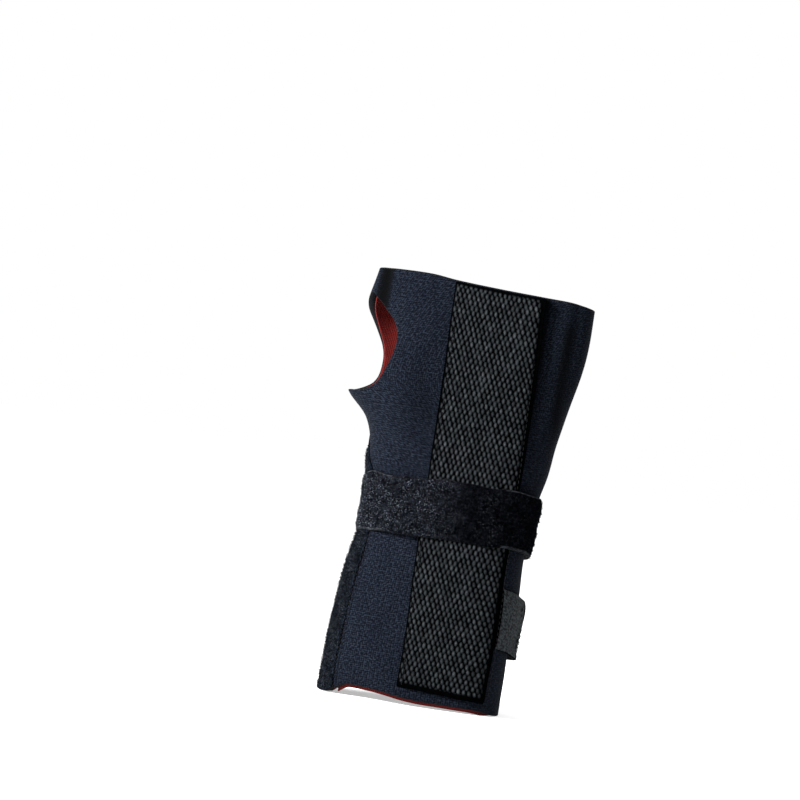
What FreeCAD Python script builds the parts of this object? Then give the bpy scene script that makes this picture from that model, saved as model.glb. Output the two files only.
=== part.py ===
"""A left-hand wrist splint: a neoprene sleeve that opens along the back, with a removable palmar stay.

It stands on its forearm end. +Z points to the fingers, -Y to the palm, +X to the little finger,
and the thumb is at -X. The origin is at the middle of the forearm opening.
"""
import FreeCAD
import Part
import math
import os

Vector = FreeCAD.Vector

# ---- driving dimensions, in millimetres and degrees ----

# height: reach of the sleeve on the thumb side, reach on the little finger side
SIDES = [
    (0, -38.2, 38.2),
    (25, -37.0, 38.2),
    (50, -34.6, 39.2),
    (65, -32.2, 39.8),
    (80, -30.6, 40.2),
    (95, -31.4, 42.4),
    (108, -32.2, 45.0),
    (116, -35.4, 46.4),
    (127, -43.5, 48.4),
    (145, -44.0, 52.2),
    (160, -42.0, 53.4),
    (182, -38.2, 53.4),
]
# height: reach of the sleeve on the back of the hand and arm
BACK = [(0, 30.0), (25, 28.0), (50, 25.0), (80, 21.0), (108, 19.5), (127, 20.0), (145, 20.0), (182, 18.0)]
# height: how far the ball of the thumb swells the palm side
THENAR = [(0, 0.0), (85, 0.0), (108, 4.0), (127, 7.0), (145, 6.0), (160, 3.0), (182, 0.0)]
THENAR_X = -24.0
THENAR_WIDTH = 14.0
THENAR_FADE = 0.04             # of the swell, towards the side of the hand

PALM_ARC_RADIUS = 450.0        # the palm line is an arc, and so is the stay
PALM_ARC_CENTRE_Z = 72.0
PALM_ARC_Y = -29.5
KEEL_X = 13.2                  # the line down the palm that the stay lies on
PALM_SQUARENESS = 2.6          # exponents of the section's superellipses
BACK_SQUARENESS = 2.3

TOP_Z_THUMB_SIDE = 178.5       # the finger end is cut on a slope
TOP_Z_LITTLE_SIDE = 173.5
TOP_CUT_X = (-39.0, 53.0)
TOP_Z = (TOP_Z_THUMB_SIDE + TOP_Z_LITTLE_SIDE) / 2

NEOPRENE = 3.0
LINING = 0.6
PILE = 0.8
LAYER_GAP = 0.05               # between layers glued to each other
MOVING_GAP = 0.35              # between layers that come apart

# height: angle of the seam between palm panel and back panel
SEAM = [(0, 200.0), (84, 200.0), (98, 186.0), (112, 160.0), (126, 147.0), (145, 148.0), (165, 152.0), (182, 157.0)]
FREE_EDGE_FOREARM_ANGLE = 8.0  # the little-finger edge of the flap
FREE_EDGE_HAND_ANGLE = 65.0
FREE_EDGE_TURN = (60.0, 105.0)

FLAP_GAP_X = (32.6, 35.2)      # the palm flexes between these two lines
BACK_GAP_X = (-14.0, -16.0)    # and the back between these
BACK_EDGE_ANGLE = -15.0        # the back panel's own edge, under the flap
SEAM_GAP_ANGLE = 0.4
SEAM_COVER_ANGLES = (-2.0, 2.4)
SEAM_COVER_Z = (0.6, 170.0)
SEAM_COVER_HEIGHT = 0.35       # above the pile's level
SUNK_ANGLES = (150.0, 116.0)   # the back panel sinks below the flap's level between these
SUNK = -(NEOPRENE + LINING + 2 * LAYER_GAP + MOVING_GAP + PILE)

# the thumb hole, seen from the side: half width at each height, from its lower lip to its top
THUMB_HOLE = [(0.0, 126.2), (12.0, 126.7), (18.0, 130.5), (19.5, 140.0), (17.8, 150.0), (12.0, 160.0), (0.0, 168.5)]
THUMB_HOLE_Y = -5.0
THUMB_HOLE_REACH = (-70.0, -18.0)

POCKET_HALF_WIDTH = 19.0       # 38 mm webbing
POCKET_Z = (5.0, 176.0)
POCKET_OUTER = 2.8
STITCH = 0.25                  # how far a row of stitching stands up
STITCH_WIDTH = 0.9
THREAD_LIFT = 0.02             # of the stitching off what it is sewn to
POCKET_STITCH_INSET = 1.2
BOX_STITCH_INSET = 3.0
BOX_STITCH_WIDTH = 1.17
BOX_STITCH_SIDE_SHARE = 0.14   # of the square's length, for each of its short sides
BOX_STITCH_CUT = 1.0           # how far the window's cutter stands out on each face

STAY_HALF_WIDTH = 10.0
STAY_THICKNESS = 2.0
STAY_OUTER = 0.8               # of the stay's palm face, above the panel's face
STAY_Z = (12.0, 168.0)
STAY_CLEARANCE = 0.3
STAY_DIP = 16.0                # length of the dipped tips
STAY_DIP_THICKNESS = 0.25
STAY_CORNER = 8.0              # radius of its rounded ends
STAY_FLOOR_GAP = 2.0           # of the pocket, below the stay
STAY_SLOT_TOP_Z = 188.0        # above the finger end, so that the pocket is open
CUT_BOX = 60.0

STRAP_WIDTH = 24.0
STRAP_THICKNESS = 1.8
STRAP_ANCHOR_ANGLE = 150.0
STRAP_JOINT_ANGLE = 26.0
STRAP_TIP_ANGLE = 74.0
STRAP_END_ANGLE = 118.0
STRAP_FIRST_ANGLE = -225.0     # angles along it count on from here, in the gap between its two ends
STRAP_GAP_X = (32.2, 37.4)     # where it flexes with the panel
STRAP_BOX_STITCH = (-208.0, -178.0)
STRAP_SEAM_LEVEL = 1.25        # of the strap's inner face where it crosses the seam's stitching
STRAP_POCKET_LEVEL = 3.2       # and where it crosses the pocket's stitching
# angles between which the strap rises over the pocket, leaves it, comes down to the flap and steps off the flap
STRAP_POCKET_START = (-150.0, -131.0)
STRAP_POCKET_END = (-45.0, -18.0)
STRAP_SEAM_END = (-30.0, -12.0)
STRAP_STEP_DOWN = (48.0, 70.0)
# angle round the sleeve: height of the middle of the strap
STRAP_LINE = [(-300.0, 75.0), (-260.0, 75.3), (-220.0, 77.7), (-180.0, 80.8), (-150.0, 82.2), (-95.0, 83.0),
              (-50.0, 82.0), (0.0, 79.0), (40.0, 76.0), (80.0, 75.0), (120.0, 75.0)]

TAB_WIDTH = 25.0
TAB_THICKNESS = 1.4
TAB_START_X = 36.6
TAB_JOINT_ANGLE = 3.0
TAB_END_ANGLE = 78.0
# angle round the sleeve: height of the middle of the forearm tab
TAB_LINE = [(-60.0, 41.5), (-30.0, 40.5), (0.0, 37.5), (40.0, 34.5), (80.0, 33.5)]
HAND_TAB_Z = 143.0
HAND_TAB_START_ANGLE = 30.0
HAND_TAB_JOINT_ANGLE = 60.0
HAND_TAB_END_ANGLE = 110.0
HOOK = 0.75
HOOK_SIDE_MARGIN = 1.5
HOOK_END_MARGIN = 1.5          # degrees
STRAP_HOOK_START = 3.0         # degrees past the joint
TAB_HOOK_START = 32.0
TAB_STITCH = (1.5, 4.0)        # degrees inside the tab's start and its joint
FLEX_GAP_ANGLE = 0.8           # half the gap at a joint

BACK_STAY_WIDTH = 7.0
BACK_STAY_THICKNESS = 1.0
BACK_STAY_CLEARANCE = 0.15
BACK_STAY_Z = (14.0, 160.0)
BACK_STAY_X = (-6.0, 24.0)


# ---- the sleeve's outer surface ----

def blend_between(table, at):
    """A smooth curve through the rows of a table of (place, value, ...); returns the value in column 1."""
    return blend_column(table, at, 1)


def blend_column(table, at, column):
    places = [row[0] for row in table]
    values = [row[column] for row in table]
    at = min(max(at, places[0]), places[-1])
    last = len(places) - 1
    k = max(i for i in range(last) if places[i] <= at)

    def slope(i):
        low, high = max(i - 1, 0), min(i + 1, last)
        return (values[high] - values[low]) / (places[high] - places[low])

    width = places[k + 1] - places[k]
    t = (at - places[k]) / width
    return ((2 * t**3 - 3 * t**2 + 1) * values[k] + (t**3 - 2 * t**2 + t) * width * slope(k)
            + (3 * t**2 - 2 * t**3) * values[k + 1] + (t**3 - t**2) * width * slope(k + 1))


def ease(value, start, end):
    """0 before start, 1 after end, smooth between."""
    t = min(max((value - start) / (end - start), 0.0), 1.0)
    return t * t * (3 - 2 * t)


def palm_line(z):
    fall = PALM_ARC_RADIUS - math.sqrt(PALM_ARC_RADIUS**2 - (z - PALM_ARC_CENTRE_Z)**2)
    return PALM_ARC_Y + fall


def quadrant(z, angle):
    """Centre, half sizes and exponent of the superellipse that holds this angle."""
    thumb_side, little_side = blend_column(SIDES, z, 1), blend_column(SIDES, z, 2)
    back, palm = blend_between(BACK, z), palm_line(z)
    middle_y = (back + palm) / 2
    if math.sin(math.radians(angle)) >= 0:
        middle_x = (thumb_side + little_side) / 2
        return middle_x, middle_y, little_side - middle_x, back - middle_y, BACK_SQUARENESS
    reach = little_side - KEEL_X if math.cos(math.radians(angle)) > 0 else KEEL_X - thumb_side
    return KEEL_X, middle_y, reach, middle_y - palm, PALM_SQUARENESS


def outline(z, angle):
    """The point of the sleeve's outer face at a height and an angle: 0 little finger side, 90 back, 270 palm."""
    cx, cy, half_x, half_y, power = quadrant(z, angle)
    c, s = math.cos(math.radians(angle)), math.sin(math.radians(angle))
    r = ((abs(c) / half_x)**power + (abs(s) / half_y)**power)**(-1 / power)
    x, y = cx + r * c, cy + r * s
    if s < 0:
        swell = blend_between(THENAR, z) * math.exp(-((x - THENAR_X) / THENAR_WIDTH)**2)
        y -= swell * s * s / (s * s + THENAR_FADE)
    return x, y


def angle_at_x(z, x, palm_side):
    """The angle at which the outline crosses a line x, on the palm side or on the back."""
    low, high = (181.0, 359.0) if palm_side else (179.0, 1.0)
    for _ in range(40):
        middle = (low + high) / 2
        if outline(z, middle)[0] < x:
            low = middle
        else:
            high = middle
    return low


def surface_point(z, angle, offset):
    """A point at a distance outside the outer face, measured square to it in the horizontal plane."""
    step = 0.4
    x, y = outline(z, angle)
    ahead, behind = outline(z, angle + step), outline(z, angle - step)
    tangent = Vector(ahead[0] - behind[0], ahead[1] - behind[1], 0)
    tangent.normalize()
    return Vector(x + tangent.y * offset, y - tangent.x * offset, z)


def even_angles(z, start, end, count):
    """Angles from start to end that are evenly spaced along the outline."""
    steps = 160
    angles = [start + (end - start) * i / steps for i in range(steps + 1)]
    points = [outline(z, a) for a in angles]
    run = [0.0]
    for a, b in zip(points, points[1:]):
        run.append(run[-1] + math.hypot(b[0] - a[0], b[1] - a[1]))
    found = []
    k = 0
    for i in range(count):
        wanted = run[-1] * i / (count - 1)
        while k < steps - 1 and run[k + 1] < wanted:
            k += 1
        part = (wanted - run[k]) / (run[k + 1] - run[k])
        found.append(angles[k] + (angles[k + 1] - angles[k]) * min(part, 1.0))
    return found


# ---- solids that follow the surface ----

SAME_DIRECTION = 1             # of the two edges of a ruled face


def skin(rows):
    surface = Part.BSplineSurface()
    surface.interpolate(rows)
    return surface


def closed_between(inner_rows, outer_rows):
    """The solid between two skins with the same rows of points."""
    inner, outer = skin(inner_rows), skin(outer_rows)
    inner_face, outer_face = inner.toShape(), outer.toShape()
    faces = [inner_face, outer_face]
    for a, b in zip(inner_face.Edges, outer_face.Edges):
        faces.append(Part.makeRuledSurface(a, b, SAME_DIRECTION))
    shell = Part.makeShell(faces)
    shell.sewShape()
    solid = Part.makeSolid(shell)
    if solid.Volume < 0:
        shell.reverse()
        solid = Part.makeSolid(shell)
    return solid


def sleeve_height(share, angle):
    """Height of a share of the way up to the sloping finger end."""
    x = outline(TOP_Z, angle)[0]
    slope = (TOP_Z_LITTLE_SIDE - TOP_Z_THUMB_SIDE) / (TOP_CUT_X[1] - TOP_CUT_X[0])
    return share * (TOP_Z_THUMB_SIDE + slope * (x - TOP_CUT_X[0]))


def between(low, high):
    return lambda share, angle: low + (high - low) * share


def panel(start, end, height, inner, outer, count=21, row_step=5.0):
    """A layer between two angles, each a function of height, with its faces at two offsets from the surface.

    height is a function of the share of the way up and the angle; inner and outer are functions of the angle."""
    low, high = height(0.0, 270.0), height(1.0, 270.0)
    rows = max(4, int((high - low) / row_step) + 1)
    inner_rows, outer_rows = [], []
    for i in range(rows):
        share = i / (rows - 1)
        z = low + (high - low) * share
        angles = even_angles(z, start(z), end(z), count)
        inner_rows.append([surface_point(height(share, a), a, inner(a)) for a in angles])
        outer_rows.append([surface_point(height(share, a), a, outer(a)) for a in angles])
    return closed_between(inner_rows, outer_rows)


def band(line, width, start, end, inner, thickness, count=15):
    """A strap that runs round the sleeve; line gives the height of its middle at an angle."""
    inner_rows, outer_rows = [], []
    z_middle = line((start + end) / 2)
    for angle in even_angles(z_middle, start, end, count):
        heights = [line(angle) + width * (k / 4 - 0.5) for k in range(5)]
        inner_rows.append([surface_point(z, angle, inner(angle)) for z in heights])
        outer_rows.append([surface_point(z, angle, inner(angle) + thickness) for z in heights])
    return closed_between(inner_rows, outer_rows)


def thumb_cutter():
    """An egg-shaped bar through the thumb hole."""
    front = [Vector(THUMB_HOLE_REACH[0], THUMB_HOLE_Y - half, z) for half, z in THUMB_HOLE]
    back = [Vector(THUMB_HOLE_REACH[0], THUMB_HOLE_Y + half, z) for half, z in THUMB_HOLE[-2:0:-1]]
    rim = Part.BSplineCurve()
    rim.interpolate(front + back, PeriodicFlag=True)
    face = Part.Face(Part.Wire([rim.toShape()]))
    return face.extrude(Vector(THUMB_HOLE_REACH[1] - THUMB_HOLE_REACH[0], 0, 0))


def curved_bar(half_width, heights, inner, outer, rounded=0.0):
    """A flat bar that follows the palm arc, with its faces at two offsets from the palm line."""
    radius_in, radius_out = PALM_ARC_RADIUS + inner, PALM_ARC_RADIUS + outer
    centre_y = PALM_ARC_Y + PALM_ARC_RADIUS
    angles = [math.asin((z - PALM_ARC_CENTRE_Z) / PALM_ARC_RADIUS) for z in heights]

    def at(radius, angle):
        return Vector(KEEL_X - half_width, centre_y - radius * math.cos(angle),
                      PALM_ARC_CENTRE_Z + radius * math.sin(angle))

    middle = sum(angles) / 2
    edges = [
        Part.Arc(at(radius_in, angles[0]), at(radius_in, middle), at(radius_in, angles[1])).toShape(),
        Part.makeLine(at(radius_in, angles[1]), at(radius_out, angles[1])),
        Part.Arc(at(radius_out, angles[1]), at(radius_out, middle), at(radius_out, angles[0])).toShape(),
        Part.makeLine(at(radius_out, angles[0]), at(radius_in, angles[0])),
    ]
    bar = Part.Face(Part.Wire(edges)).extrude(Vector(2 * half_width, 0, 0))
    if rounded:
        end = [e for e in bar.Edges if is_corner(e, half_width)]
        bar = bar.makeFillet(rounded, end)
    return bar


def is_corner(edge, half_width):
    """The short edges through the thickness, at the four corners of a flat bar."""
    first, last = edge.Vertexes[0].Point, edge.Vertexes[-1].Point
    on_side = abs(abs(first.x - KEEL_X) - half_width) < 1e-6
    return on_side and abs(first.x - last.x) < 1e-6 and edge.Length < 2 * STAY_THICKNESS


# ---- edges and levels of the layers ----

def seam(z):
    return blend_between(SEAM, z)


def free_edge(z):
    turn = ease(z, *FREE_EDGE_TURN)
    return 360.0 + FREE_EDGE_FOREARM_ANGLE + (FREE_EDGE_HAND_ANGLE - FREE_EDGE_FOREARM_ANGLE) * turn


def palm_flex_edge(z):
    return angle_at_x(z, FLAP_GAP_X[0], True)


def flap_flex_edge(z):
    return angle_at_x(z, FLAP_GAP_X[1], True)


def fixed_back_edge(z):
    return angle_at_x(z, BACK_GAP_X[1], False)


def moving_back_edge(z):
    return angle_at_x(z, BACK_GAP_X[0], False)


def back_edge(z):
    return BACK_EDGE_ANGLE


def level(offset):
    return lambda angle: offset


def sunk(offset):
    """The back panel's level: flush at the seam, and below the flap from the back of the hand on."""
    return lambda angle: offset + SUNK * ease(-angle, -SUNK_ANGLES[0], -SUNK_ANGLES[1])


def seam_gap(z):
    return seam(z) - SEAM_GAP_ANGLE


def strap_level(angle):
    """The strap's inner face: over the pile and the seam, the pocket, the flap, and then down to the pile again."""
    a = (angle - STRAP_FIRST_ANGLE) % 360.0 + STRAP_FIRST_ANGLE
    over_seam = 1 - ease(a, *STRAP_SEAM_END)
    over_pocket = ease(a, *STRAP_POCKET_START) * (1 - ease(a, *STRAP_POCKET_END))
    beyond = SUNK + PILE + LAYER_GAP + MOVING_GAP + HOOK + LAYER_GAP
    return (MOVING_GAP + (STRAP_SEAM_LEVEL - MOVING_GAP) * over_seam
            + (STRAP_POCKET_LEVEL - STRAP_SEAM_LEVEL) * over_pocket
            + (beyond - MOVING_GAP) * ease(a, *STRAP_STEP_DOWN))


def tab_level(edge_angle):
    """A closing tab's inner face: on the flap, then down to the pile past the flap's edge."""
    beyond = SUNK + PILE + LAYER_GAP + MOVING_GAP + HOOK + LAYER_GAP
    return lambda a: MOVING_GAP + (beyond - MOVING_GAP) * ease(a, edge_angle + 1.0, edge_angle + 24.0)


# ---- the sub-parts ----

def palm_side(start, end):
    """Neoprene and lining of the palm panel or the flap."""
    outer_layer = panel(start, end, sleeve_height, level(-NEOPRENE), level(0))
    lining_inner = -NEOPRENE - LAYER_GAP - LINING
    inner_layer = panel(start, end, sleeve_height, level(lining_inner), level(-NEOPRENE - LAYER_GAP))
    return outer_layer, inner_layer


def back_side(start, end):
    """Pile, neoprene and lining of the back panel or its fixed strip."""
    pile = panel(start, end, sleeve_height, sunk(LAYER_GAP), sunk(LAYER_GAP + PILE))
    neoprene = panel(start, end, sleeve_height, sunk(-NEOPRENE), sunk(0))
    lining_inner = -NEOPRENE - LAYER_GAP - LINING
    lining = panel(start, end, sleeve_height, sunk(lining_inner), sunk(-NEOPRENE - LAYER_GAP))
    return pile, neoprene, lining


def pocket_edge(side, inset=0.0):
    x = KEEL_X + side * (POCKET_HALF_WIDTH - inset)
    return lambda z: angle_at_x(z, x, True)


def pocket():
    return panel(pocket_edge(-1), pocket_edge(1), between(*POCKET_Z), level(LAYER_GAP), level(POCKET_OUTER), count=13)


def pocket_stitching():
    rows = []
    for side in (-1, 1):
        near, far = POCKET_STITCH_INSET, POCKET_STITCH_INSET + STITCH_WIDTH
        edges = [pocket_edge(side, near), pocket_edge(side, far)]
        if side > 0:
            edges.reverse()
        low, high = POCKET_Z[0] + POCKET_STITCH_INSET, POCKET_Z[1] - POCKET_STITCH_INSET
        rows.append(panel(edges[0], edges[1], between(low, high), level(POCKET_OUTER + THREAD_LIFT),
                          level(POCKET_OUTER + STITCH), count=4))
    return Part.makeCompound(rows)


def seam_stitching():
    """The flat seam over the join of the palm panel and the fixed strip of the back panel."""
    return panel(lambda z: seam(z) + SEAM_COVER_ANGLES[0], lambda z: seam(z) + SEAM_COVER_ANGLES[1],
                 between(*SEAM_COVER_Z), level(LAYER_GAP * 2 + PILE), level(PILE + SEAM_COVER_HEIGHT), count=5)


def stay_pocket_cutter():
    clear = STAY_CLEARANCE + STAY_DIP_THICKNESS
    return curved_bar(STAY_HALF_WIDTH + clear, (STAY_Z[0] - STAY_FLOOR_GAP, STAY_SLOT_TOP_Z),
                      STAY_OUTER - STAY_THICKNESS - clear, STAY_OUTER + clear)


def stay():
    """The bar, and the two dipped tips with the bar's own shape cut out of them."""
    bar = curved_bar(STAY_HALF_WIDTH, STAY_Z, STAY_OUTER - STAY_THICKNESS, STAY_OUTER, STAY_CORNER)
    tips = []
    dip = STAY_DIP_THICKNESS
    for low, high in ((STAY_Z[0], STAY_Z[0] + STAY_DIP), (STAY_Z[1] - STAY_DIP, STAY_Z[1])):
        grown = curved_bar(STAY_HALF_WIDTH + dip, (STAY_Z[0] - dip, STAY_Z[1] + dip),
                           STAY_OUTER - STAY_THICKNESS - dip, STAY_OUTER + dip, STAY_CORNER + dip)
        bottom = low if low > STAY_Z[0] else low - dip
        slab = Part.makeBox(CUT_BOX, CUT_BOX, high - low + dip, Vector(KEEL_X - CUT_BOX / 2, -CUT_BOX, bottom))
        tips.append(grown.common(slab).cut(bar))
    return bar, tips[0], tips[1]


def back_stay(x):
    """A flat sewn-in bone under the pile, and the groove it lies in."""
    half = BACK_STAY_WIDTH / 2

    def bone(margin, top):
        return panel(lambda z: angle_at_x(z, x - half - margin, False),
                     lambda z: angle_at_x(z, x + half + margin, False),
                     between(BACK_STAY_Z[0] - margin, BACK_STAY_Z[1] + margin),
                     sunk(-BACK_STAY_THICKNESS - BACK_STAY_CLEARANCE - margin), sunk(top), count=5)

    return bone(0.0, -BACK_STAY_CLEARANCE), bone(BACK_STAY_CLEARANCE, PILE)


def strap_piece(start, end, count=15):
    return band(lambda a: blend_between(STRAP_LINE, a), STRAP_WIDTH, start, end, strap_level, STRAP_THICKNESS, count)


def hook_patch(line, width, start, end, level_above, count=9):
    return band(line, width - 2 * HOOK_SIDE_MARGIN, start, end, lambda a: level_above(a) - HOOK - LAYER_GAP, HOOK, count)


def box_stitch(line, width, start, end, level_on):
    """A square of stitching, as a thin plate with a window."""
    outer_width = width - 2 * BOX_STITCH_INSET
    plate = band(line, outer_width, start, end, level_on, STITCH, 7)
    side = (end - start) * BOX_STITCH_SIDE_SHARE
    window = band(line, outer_width - 2 * BOX_STITCH_WIDTH, start + side, end - side,
                  lambda a: level_on(a) - BOX_STITCH_CUT, STITCH + 2 * BOX_STITCH_CUT, 7)
    return plate.cut(window)


def largest_solid(shape):
    return max(shape.Solids, key=lambda solid: solid.Volume)


def build():
    thumb = thumb_cutter()
    stay_room = stay_pocket_cutter()
    parts = {}

    outer_layer, inner_layer = palm_side(seam, palm_flex_edge)
    parts["palm_panel"] = outer_layer.cut(thumb).cut(stay_room)
    parts["palm_lining"] = inner_layer.cut(thumb)
    outer_layer, inner_layer = palm_side(flap_flex_edge, free_edge)
    parts["flap_panel"] = outer_layer
    parts["flap_lining"] = inner_layer

    pile, neoprene, lining = back_side(fixed_back_edge, seam_gap)
    parts["radial_strip"] = neoprene.cut(thumb)
    parts["radial_strip_pile"] = pile.cut(thumb)
    parts["radial_strip_lining"] = lining.cut(thumb)
    pile, neoprene, lining = back_side(back_edge, moving_back_edge)
    bones = [back_stay(x) for x in BACK_STAY_X]
    for bone, groove in bones:
        neoprene = neoprene.cut(groove)
    parts["dorsal_panel"] = largest_solid(neoprene)
    parts["dorsal_pile"] = pile
    parts["dorsal_lining"] = lining
    parts["dorsal_stay_radial"] = bones[0][0]
    parts["dorsal_stay_ulnar"] = bones[1][0]
    parts["seam_stitching"] = seam_stitching().cut(thumb)

    parts["palmar_pocket"] = pocket().cut(stay_room)
    parts["pocket_stitching"] = pocket_stitching()
    bar, lower_tip, upper_tip = stay()
    parts["palmar_stay"] = bar
    parts["stay_tip_lower"] = lower_tip
    parts["stay_tip_upper"] = upper_tip

    z_strap = blend_between(STRAP_LINE, -50.0)
    strap_break = [angle_at_x(z_strap, x, True) - 360.0 for x in STRAP_GAP_X]
    parts["strap_palmar"] = strap_piece(STRAP_ANCHOR_ANGLE - 360.0, strap_break[0], 31)
    parts["strap_ulnar"] = strap_piece(strap_break[1], STRAP_JOINT_ANGLE - FLEX_GAP_ANGLE, 11)
    parts["strap_tail"] = strap_piece(STRAP_JOINT_ANGLE + FLEX_GAP_ANGLE, STRAP_TIP_ANGLE - FLEX_GAP_ANGLE, 11)
    parts["strap_tip"] = strap_piece(STRAP_TIP_ANGLE + FLEX_GAP_ANGLE, STRAP_END_ANGLE, 9)
    parts["strap_hook"] = hook_patch(lambda a: blend_between(STRAP_LINE, a), STRAP_WIDTH, STRAP_TIP_ANGLE + STRAP_HOOK_START,
                                     STRAP_END_ANGLE - HOOK_END_MARGIN, strap_level)
    parts["strap_box_stitch"] = box_stitch(lambda a: blend_between(STRAP_LINE, a), STRAP_WIDTH,
                                           STRAP_BOX_STITCH[0], STRAP_BOX_STITCH[1],
                                           lambda a: strap_level(a) + STRAP_THICKNESS + THREAD_LIFT)

    def forearm_line(a):
        return blend_between(TAB_LINE, a)

    def hand_line(a):
        return HAND_TAB_Z

    start = angle_at_x(forearm_line(-40.0), TAB_START_X, True) - 360.0
    forearm_level = tab_level(FREE_EDGE_FOREARM_ANGLE)
    hand_level = tab_level(FREE_EDGE_HAND_ANGLE)
    tabs = [
        ("proximal_tab", forearm_line, forearm_level, start, TAB_JOINT_ANGLE, TAB_END_ANGLE),
        ("distal_tab", hand_line, hand_level, HAND_TAB_START_ANGLE, HAND_TAB_JOINT_ANGLE, HAND_TAB_END_ANGLE),
    ]
    for name, line, inner, first, joint, last in tabs:
        parts[name + "_base"] = band(line, TAB_WIDTH, first, joint - FLEX_GAP_ANGLE, inner, TAB_THICKNESS, 9)
        parts[name + "_end"] = band(line, TAB_WIDTH, joint + FLEX_GAP_ANGLE, last, inner, TAB_THICKNESS, 13)
        parts[name + "_hook"] = hook_patch(line, TAB_WIDTH, joint + TAB_HOOK_START, last - HOOK_END_MARGIN, inner)
        parts[name + "_stitch"] = box_stitch(line, TAB_WIDTH, first + TAB_STITCH[0], joint - TAB_STITCH[1],
                                             lambda a, on=inner: on(a) + TAB_THICKNESS + THREAD_LIFT)
    return parts


os.makedirs("parts", exist_ok=True)
for node, shape in build().items():
    shape.exportStep(f"parts/{node}.step")
    print(node, shape.isValid(), len(shape.Solids), round(shape.Volume))
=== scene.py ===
"""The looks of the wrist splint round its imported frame: knitted neoprene, pile, webbing, tapes and stitches."""
import bpy
import math
import numpy as np
from mathutils import Matrix, Vector


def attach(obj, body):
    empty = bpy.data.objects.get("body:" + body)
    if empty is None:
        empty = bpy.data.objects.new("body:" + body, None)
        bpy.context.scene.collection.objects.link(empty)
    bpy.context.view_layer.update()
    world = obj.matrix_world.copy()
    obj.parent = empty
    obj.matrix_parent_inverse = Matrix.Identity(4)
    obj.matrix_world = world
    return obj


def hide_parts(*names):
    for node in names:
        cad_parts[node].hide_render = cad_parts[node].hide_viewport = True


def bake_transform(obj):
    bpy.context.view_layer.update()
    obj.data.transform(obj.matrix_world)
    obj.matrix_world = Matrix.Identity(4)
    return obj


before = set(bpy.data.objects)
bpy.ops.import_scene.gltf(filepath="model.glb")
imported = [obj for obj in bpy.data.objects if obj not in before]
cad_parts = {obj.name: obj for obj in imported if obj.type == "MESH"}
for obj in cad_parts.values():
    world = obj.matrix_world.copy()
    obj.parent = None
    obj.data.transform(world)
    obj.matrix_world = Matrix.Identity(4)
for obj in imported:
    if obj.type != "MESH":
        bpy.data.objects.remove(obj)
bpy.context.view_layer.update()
MM = 0.001

# ---- the camera: straight at the palm, rolled so that the fingers' end leans to the right ----

VIEW_WIDTH = 0.336             # of the picture, at the splint
CAMERA_DISTANCE = 1.6
SENSOR = 36.0
ROLL = math.radians(8.35)
LOOK_AT = Vector((-0.0220, 0.0, 0.1250))


def make_camera():
    data = bpy.data.cameras.new("camera")
    data.sensor_width = SENSOR
    data.lens = SENSOR * CAMERA_DISTANCE / VIEW_WIDTH
    camera = bpy.data.objects.new("camera", data)
    right = Vector((math.cos(ROLL), 0, math.sin(ROLL)))
    up = Vector((-math.sin(ROLL), 0, math.cos(ROLL)))
    back = Vector((0, -1, 0))
    turn = Matrix((right, up, back)).transposed()
    camera.matrix_world = Matrix.Translation(LOOK_AT + back * CAMERA_DISTANCE) @ turn.to_4x4()
    bpy.context.scene.collection.objects.link(camera)
    bpy.context.scene.camera = camera


make_camera()

# ---- the sleeve's surface, in millimetres and degrees: the same sections as the frame's solids ----

# height, reach on the thumb side, reach on the little finger side
SIDES = [
    (0, -38.2, 38.2), (25, -37.0, 38.2), (50, -34.6, 39.2), (65, -32.2, 39.8), (80, -30.6, 40.2),
    (95, -31.4, 42.4), (108, -32.2, 45.0), (116, -35.4, 46.4), (127, -43.5, 48.4), (145, -44.0, 52.2),
    (160, -42.0, 53.4), (182, -38.2, 53.4),
]
BACK = [(0, 30.0), (25, 28.0), (50, 25.0), (80, 21.0), (108, 19.5), (127, 20.0), (145, 20.0), (182, 18.0)]
THENAR = [(0, 0.0), (85, 0.0), (108, 4.0), (127, 7.0), (145, 6.0), (160, 3.0), (182, 0.0)]
THENAR_X, THENAR_WIDTH, THENAR_FADE = -24.0, 14.0, 0.04
PALM_ARC_RADIUS, PALM_ARC_CENTRE_Z, PALM_ARC_Y = 450.0, 72.0, -29.5
KEEL_X = 13.2
PALM_SQUARENESS, BACK_SQUARENESS = 2.6, 2.3

NEOPRENE, LINING, PILE = 3.0, 0.6, 0.8
LAYER_GAP, MOVING_GAP, HOOK = 0.05, 0.35, 0.75
SEAM = [(0, 200.0), (84, 200.0), (98, 186.0), (112, 160.0), (126, 147.0), (145, 148.0), (165, 152.0),
        (182, 157.0)]
SEAM_ALLOWANCE = 0.8           # degrees that the palm panel goes on past the seam's line
FREE_EDGE_ANGLES, FREE_EDGE_TURN = (8.0, 65.0), (60.0, 105.0)
BACK_EDGE_ANGLE = -15.0
SUNK_ANGLES = (150.0, 116.0)
SUNK = -(NEOPRENE + LINING + 2 * LAYER_GAP + MOVING_GAP + PILE)
BEYOND_FLAP = SUNK + PILE + LAYER_GAP + MOVING_GAP + HOOK + LAYER_GAP

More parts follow.
